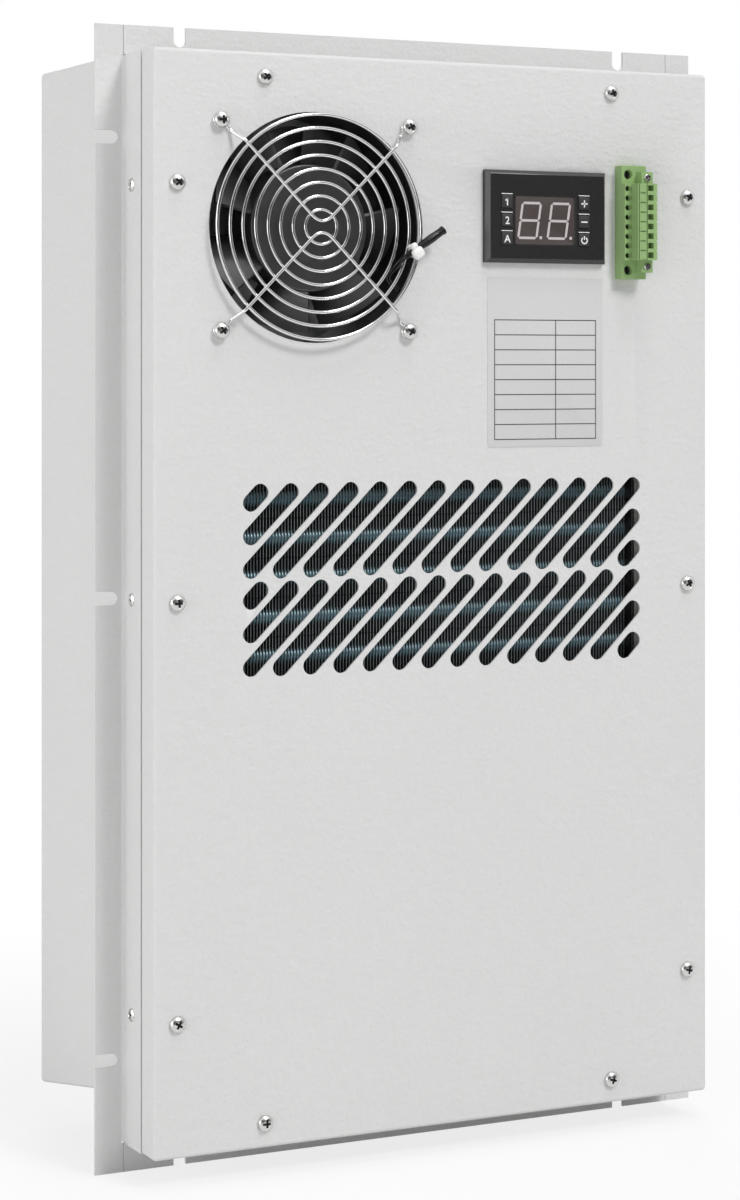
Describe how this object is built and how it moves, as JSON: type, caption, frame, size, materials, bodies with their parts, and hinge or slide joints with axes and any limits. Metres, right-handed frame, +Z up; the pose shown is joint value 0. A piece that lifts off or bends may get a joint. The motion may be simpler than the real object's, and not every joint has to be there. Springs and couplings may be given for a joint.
{
  "type": "cabinet air conditioner",
  "caption": "Flanged cabinet air conditioner: slotted sheet-metal cover, wire-guarded fan, controller with display, pluggable terminals and coils in a deep case.",
  "frame": {"origin": "middle of the mounting flange, on the plane of the flange's front face", "axes": "+X to the right as seen from the cover, +Y from the cover towards the back, +Z up"},
  "size_m": [0.352, 0.1852, 0.58],
  "materials": {
    "painted_steel": "light grey powder coat with a fine texture",
    "zinc_steel": "galvanised sheet",
    "fin_aluminium": "coated fin stock",
    "tube_copper": "drawn tube",
    "fan_black": "matt moulded plastic",
    "chrome_wire": "bright plated wire",
    "probe_black": "shrink sleeve",
    "tie_white": "moulded nylon",
    "bezel_black": "satin moulded plastic",
    "display_smoke": "smoked window",
    "button_grey": "soft-touch keys",
    "terminal_green": "moulded terminal plastic",
    "label_silver": "satin sticker"
  },
  "bodies": {
    "housing": {"front_cover": "painted_steel", "left_side_panel": "painted_steel", "right_side_panel": "painted_steel", "top_panel": "painted_steel", "bottom_panel": "painted_steel", "back_panel": "painted_steel", "left_mounting_angle": "painted_steel", "right_mounting_angle": "painted_steel", "top_mounting_angle": "painted_steel", "bottom_mounting_angle": "painted_steel", "air_divider": "zinc_steel", "evaporator_fins": "fin_aluminium", "evaporator_tubes": "tube_copper", "evaporator_left_end_plate": "zinc_steel", "evaporator_right_end_plate": "zinc_steel", "condenser_fins": "fin_aluminium", "condenser_tubes": "tube_copper", "condenser_left_end_plate": "zinc_steel", "condenser_right_end_plate": "zinc_steel", "fan_housing": "fan_black", "fan_guard": "chrome_wire", "probe_sleeve": "probe_black", "probe_tie": "tie_white", "probe_lead": "probe_black", "controller_case": "bezel_black", "controller_window": "display_smoke", "controller_buttons": "button_grey", "terminal_header": "terminal_green", "terminal_plug": "terminal_green", "terminal_screws": "zinc_steel", "rating_label": "label_silver"},
    "impeller": {"fan_impeller": "fan_black"}
  },
  "joints": [
    {"name": "fan_spin", "type": "hinge", "parent": "housing", "child": "impeller", "pos_m": [-0.073, -0.025, 0.1875], "axis": [0, 1, 0], "continuous": true}
  ]
}
